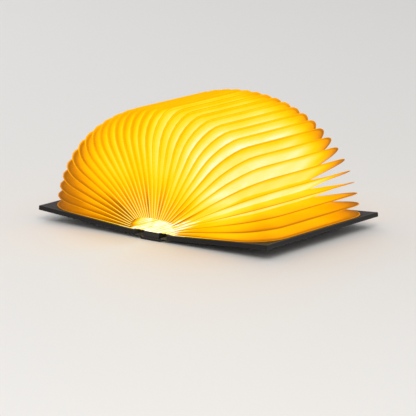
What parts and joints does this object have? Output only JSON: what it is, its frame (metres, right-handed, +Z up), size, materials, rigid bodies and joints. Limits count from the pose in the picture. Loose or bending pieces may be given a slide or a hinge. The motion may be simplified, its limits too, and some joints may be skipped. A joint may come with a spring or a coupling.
{
  "type": "folding book lamp",
  "caption": "Book-shaped lamp lying open: two hinged covers spread a fan of pleated paper leaves over a lit tray in the spine.",
  "frame": {"origin": "on the resting surface, under the middle of the spine", "axes": "+Z up, +Y along the spine away from the viewer, +X out over the right cover"},
  "size_m": [0.3278, 0.216, 0.1477],
  "materials": {
    "paper": "matt synthetic paper, lit from within",
    "end_paper": "matt black end paper",
    "cloth": "black book cloth",
    "board": "dark fibreboard",
    "tray": "black moulded plastic",
    "diffuser": "frosted",
    "led_board": "white solder mask",
    "leds": "warm white phosphor",
    "steel": "plated steel",
    "cell": "foil pouch",
    "control_board": "green solder mask",
    "chips": "black moulding",
    "clear": "clear light pipe",
    "magnet": "nickel-plated magnet"
  },
  "bodies": {
    "spine": {"spine_cloth": "cloth", "spine_board": "board", "light_tray": "tray", "diffuser": "diffuser", "led_board": "led_board", "leds": "leds", "board_screws": "steel", "battery_cell": "cell", "control_board": "control_board", "hall_sensors": "chips", "charging_socket": "steel", "socket_tongue": "chips", "charge_light_pipe": "clear", "gutter_paper": "paper", "middle_leaf": "paper", "right_pleats": "paper", "left_pleats": "paper"},
    "right_cover": {"right_cover_board": "board", "right_magnets": "magnet", "right_cover_cloth": "cloth", "right_end_paper": "end_paper", "right_hinge_strip": "cloth"},
    "right_leaf_01": {"right_leaf_01": "paper"},
    "right_leaf_02": {"right_leaf_02": "paper"},
    "right_leaf_03": {"right_leaf_03": "paper"},
    "right_leaf_04": {"right_leaf_04": "paper"},
    "right_leaf_05": {"right_leaf_05": "paper"},
    "right_leaf_06": {"right_leaf_06": "paper"},
    "right_leaf_07": {"right_leaf_07": "paper"},
    "right_leaf_08": {"right_leaf_08": "paper"},
    "right_leaf_09": {"right_leaf_09": "paper"},
    "right_leaf_10": {"right_leaf_10": "paper"},
    "right_leaf_11": {"right_leaf_11": "paper"},
    "right_leaf_12": {"right_leaf_12": "paper"},
    "right_leaf_13": {"right_leaf_13": "paper"},
    "right_leaf_14": {"right_leaf_14": "paper"},
    "right_leaf_15": {"right_leaf_15": "paper"},
    "right_leaf_16": {"right_leaf_16": "paper"},
    "left_cover": {"left_cover_board": "board", "left_magnets": "magnet", "left_cover_cloth": "cloth", "left_end_paper": "end_paper", "left_hinge_strip": "cloth"},
    "left_leaf_01": {"left_leaf_01": "paper"},
    "left_leaf_02": {"left_leaf_02": "paper"},
    "left_leaf_03": {"left_leaf_03": "paper"},
    "left_leaf_04": {"left_leaf_04": "paper"},
    "left_leaf_05": {"left_leaf_05": "paper"},
    "left_leaf_06": {"left_leaf_06": "paper"},
    "left_leaf_07": {"left_leaf_07": "paper"},
    "left_leaf_08": {"left_leaf_08": "paper"},
    "left_leaf_09": {"left_leaf_09": "paper"},
    "left_leaf_10": {"left_leaf_10": "paper"},
    "left_leaf_11": {"left_leaf_11": "paper"},
    "left_leaf_12": {"left_leaf_12": "paper"},
    "left_leaf_13": {"left_leaf_13": "paper"},
    "left_leaf_14": {"left_leaf_14": "paper"},
    "left_leaf_15": {"left_leaf_15": "paper"},
    "left_leaf_16": {"left_leaf_16": "paper"}
  },
  "joints": [
    {"name": "right_cover_hinge", "type": "hinge", "parent": "spine", "child": "right_cover", "pos_m": [0.017, 0, 0.0032], "axis": [0, -1, 0], "range_deg": [-100, 86.2], "deforming": ["right_pleats", "gutter_paper"]},
    {"name": "right_fold_01", "type": "hinge", "parent": "spine", "child": "right_leaf_01", "pos_m": [0.017, 0, 0.0032], "axis": [0, -1, 0], "range_deg": [-7.2, 6.2]},
    {"name": "right_fold_02", "type": "hinge", "parent": "right_leaf_01", "child": "right_leaf_02", "pos_m": [0.017, 0, 0.0032], "axis": [0, -1, 0], "range_deg": [-7.2, 6.2]},
    {"name": "right_fold_03", "type": "hinge", "parent": "right_leaf_02", "child": "right_leaf_03", "pos_m": [0.017, 0, 0.0032], "axis": [0, -1, 0], "range_deg": [-7.2, 6.2]},
    {"name": "right_fold_04", "type": "hinge", "parent": "right_leaf_03", "child": "right_leaf_04", "pos_m": [0.017, 0, 0.0032], "axis": [0, -1, 0], "range_deg": [-7.2, 6.2]},
    {"name": "right_fold_05", "type": "hinge", "parent": "right_leaf_04", "child": "right_leaf_05", "pos_m": [0.017, 0, 0.0032], "axis": [0, -1, 0], "range_deg": [-7.2, 6.2]},
    {"name": "right_fold_06", "type": "hinge", "parent": "right_leaf_05", "child": "right_leaf_06", "pos_m": [0.017, 0, 0.0032], "axis": [0, -1, 0], "range_deg": [-7.2, 6.2]},
    {"name": "right_fold_07", "type": "hinge", "parent": "right_leaf_06", "child": "right_leaf_07", "pos_m": [0.017, 0, 0.0032], "axis": [0, -1, 0], "range_deg": [-7.2, 6.2]},
    {"name": "right_fold_08", "type": "hinge", "parent": "right_leaf_07", "child": "right_leaf_08", "pos_m": [0.017, 0, 0.0032], "axis": [0, -1, 0], "range_deg": [-7.2, 6.2]},
    {"name": "right_fold_09", "type": "hinge", "parent": "right_leaf_08", "child": "right_leaf_09", "pos_m": [0.017, 0, 0.0032], "axis": [0, -1, 0], "range_deg": [-7.2, 6.2]},
    {"name": "right_fold_10", "type": "hinge", "parent": "right_leaf_09", "child": "right_leaf_10", "pos_m": [0.017, 0, 0.0032], "axis": [0, -1, 0], "range_deg": [-7.2, 6.2]},
    {"name": "right_fold_11", "type": "hinge", "parent": "right_leaf_10", "child": "right_leaf_11", "pos_m": [0.017, 0, 0.0032], "axis": [0, -1, 0], "range_deg": [-7.2, 6.2]},
    {"name": "right_fold_12", "type": "hinge", "parent": "right_leaf_11", "child": "right_leaf_12", "pos_m": [0.017, 0, 0.0032], "axis": [0, -1, 0], "range_deg": [-7.2, 6.2]},
    {"name": "right_fold_13", "type": "hinge", "parent": "right_leaf_12", "child": "right_leaf_13", "pos_m": [0.017, 0, 0.0032], "axis": [0, -1, 0], "range_deg": [-7.2, 6.2]},
    {"name": "right_fold_14", "type": "hinge", "parent": "right_leaf_13", "child": "right_leaf_14", "pos_m": [0.017, 0, 0.0032], "axis": [0, -1, 0], "range_deg": [-7.2, 6.2]},
    {"name": "right_fold_15", "type": "hinge", "parent": "right_leaf_14", "child": "right_leaf_15", "pos_m": [0.017, 0, 0.0032], "axis": [0, -1, 0], "range_deg": [-7.2, 6.2]},
    {"name": "right_fold_16", "type": "hinge", "parent": "right_leaf_15", "child": "right_leaf_16", "pos_m": [0.017, 0, 0.0032], "axis": [0, -1, 0], "range_deg": [-7.2, 6.2]},
    {"name": "left_cover_hinge", "type": "hinge", "parent": "spine", "child": "left_cover", "pos_m": [-0.017, 0, 0.0032], "axis": [0, 1, 0], "range_deg": [-100, 86.2], "deforming": ["left_pleats"]},
    {"name": "left_fold_01", "type": "hinge", "parent": "spine", "child": "left_leaf_01", "pos_m": [-0.017, 0, 0.0032], "axis": [0, 1, 0], "range_deg": [-7.2, 6.2]},
    {"name": "left_fold_02", "type": "hinge", "parent": "left_leaf_01", "child": "left_leaf_02", "pos_m": [-0.017, 0, 0.0032], "axis": [0, 1, 0], "range_deg": [-7.2, 6.2]},
    {"name": "left_fold_03", "type": "hinge", "parent": "left_leaf_02", "child": "left_leaf_03", "pos_m": [-0.017, 0, 0.0032], "axis": [0, 1, 0], "range_deg": [-7.2, 6.2]},
    {"name": "left_fold_04", "type": "hinge", "parent": "left_leaf_03", "child": "left_leaf_04", "pos_m": [-0.017, 0, 0.0032], "axis": [0, 1, 0], "range_deg": [-7.2, 6.2]},
    {"name": "left_fold_05", "type": "hinge", "parent": "left_leaf_04", "child": "left_leaf_05", "pos_m": [-0.017, 0, 0.0032], "axis": [0, 1, 0], "range_deg": [-7.2, 6.2]},
    {"name": "left_fold_06", "type": "hinge", "parent": "left_leaf_05", "child": "left_leaf_06", "pos_m": [-0.017, 0, 0.0032], "axis": [0, 1, 0], "range_deg": [-7.2, 6.2]},
    {"name": "left_fold_07", "type": "hinge", "parent": "left_leaf_06", "child": "left_leaf_07", "pos_m": [-0.017, 0, 0.0032], "axis": [0, 1, 0], "range_deg": [-7.2, 6.2]},
    {"name": "left_fold_08", "type": "hinge", "parent": "left_leaf_07", "child": "left_leaf_08", "pos_m": [-0.017, 0, 0.0032], "axis": [0, 1, 0], "range_deg": [-7.2, 6.2]},
    {"name": "left_fold_09", "type": "hinge", "parent": "left_leaf_08", "child": "left_leaf_09", "pos_m": [-0.017, 0, 0.0032], "axis": [0, 1, 0], "range_deg": [-7.2, 6.2]},
    {"name": "left_fold_10", "type": "hinge", "parent": "left_leaf_09", "child": "left_leaf_10", "pos_m": [-0.017, 0, 0.0032], "axis": [0, 1, 0], "range_deg": [-7.2, 6.2]},
    {"name": "left_fold_11", "type": "hinge", "parent": "left_leaf_10", "child": "left_leaf_11", "pos_m": [-0.017, 0, 0.0032], "axis": [0, 1, 0], "range_deg": [-7.2, 6.2]},
    {"name": "left_fold_12", "type": "hinge", "parent": "left_leaf_11", "child": "left_leaf_12", "pos_m": [-0.017, 0, 0.0032], "axis": [0, 1, 0], "range_deg": [-7.2, 6.2]},
    {"name": "left_fold_13", "type": "hinge", "parent": "left_leaf_12", "child": "left_leaf_13", "pos_m": [-0.017, 0, 0.0032], "axis": [0, 1, 0], "range_deg": [-7.2, 6.2]},
    {"name": "left_fold_14", "type": "hinge", "parent": "left_leaf_13", "child": "left_leaf_14", "pos_m": [-0.017, 0, 0.0032], "axis": [0, 1, 0], "range_deg": [-7.2, 6.2]},
    {"name": "left_fold_15", "type": "hinge", "parent": "left_leaf_14", "child": "left_leaf_15", "pos_m": [-0.017, 0, 0.0032], "axis": [0, 1, 0], "range_deg": [-7.2, 6.2]},
    {"name": "left_fold_16", "type": "hinge", "parent": "left_leaf_15", "child": "left_leaf_16", "pos_m": [-0.017, 0, 0.0032], "axis": [0, 1, 0], "range_deg": [-7.2, 6.2]}
  ],
  "couplings": [
    {"joint": "right_fold_01", "follows": "right_cover_hinge", "ratio": 0.05961},
    {"joint": "right_fold_02", "follows": "right_cover_hinge", "ratio": 0.059897},
    {"joint": "right_fold_03", "follows": "right_cover_hinge", "ratio": 0.060444},
    {"joint": "right_fold_04", "follows": "right_cover_hinge", "ratio": 0.061194},
    {"joint": "right_fold_05", "follows": "right_cover_hinge", "ratio": 0.062075},
    {"joint": "right_fold_06", "follows": "right_cover_hinge", "ratio": 0.062998},
    {"joint": "right_fold_07", "follows": "right_cover_hinge", "ratio": 0.063872},
    {"joint": "right_fold_08", "follows": "right_cover_hinge", "ratio": 0.064609},
    {"joint": "right_fold_09", "follows": "right_cover_hinge", "ratio": 0.065136},
    {"joint": "right_fold_10", "follows": "right_cover_hinge", "ratio": 0.065837},
    {"joint": "right_fold_11", "follows": "right_cover_hinge", "ratio": 0.070429},
    {"joint": "right_fold_12", "follows": "right_cover_hinge", "ratio": 0.068184},
    {"joint": "right_fold_13", "follows": "right_cover_hinge", "ratio": 0.064454},
    {"joint": "right_fold_14", "follows": "right_cover_hinge", "ratio": 0.060214},
    {"joint": "right_fold_15", "follows": "right_cover_hinge", "ratio": 0.056571},
    {"joint": "right_fold_16", "follows": "right_cover_hinge", "ratio": 0.054476},
    {"joint": "left_fold_01", "follows": "left_cover_hinge", "ratio": 0.05961},
    {"joint": "left_fold_02", "follows": "left_cover_hinge", "ratio": 0.059897},
    {"joint": "left_fold_03", "follows": "left_cover_hinge", "ratio": 0.060444},
    {"joint": "left_fold_04", "follows": "left_cover_hinge", "ratio": 0.061194},
    {"joint": "left_fold_05", "follows": "left_cover_hinge", "ratio": 0.062075},
    {"joint": "left_fold_06", "follows": "left_cover_hinge", "ratio": 0.062998},
    {"joint": "left_fold_07", "follows": "left_cover_hinge", "ratio": 0.063872},
    {"joint": "left_fold_08", "follows": "left_cover_hinge", "ratio": 0.064609},
    {"joint": "left_fold_09", "follows": "left_cover_hinge", "ratio": 0.065136},
    {"joint": "left_fold_10", "follows": "left_cover_hinge", "ratio": 0.065837},
    {"joint": "left_fold_11", "follows": "left_cover_hinge", "ratio": 0.070429},
    {"joint": "left_fold_12", "follows": "left_cover_hinge", "ratio": 0.068184},
    {"joint": "left_fold_13", "follows": "left_cover_hinge", "ratio": 0.064454},
    {"joint": "left_fold_14", "follows": "left_cover_hinge", "ratio": 0.060214},
    {"joint": "left_fold_15", "follows": "left_cover_hinge", "ratio": 0.056571},
    {"joint": "left_fold_16", "follows": "left_cover_hinge", "ratio": 0.054476}
  ]
}
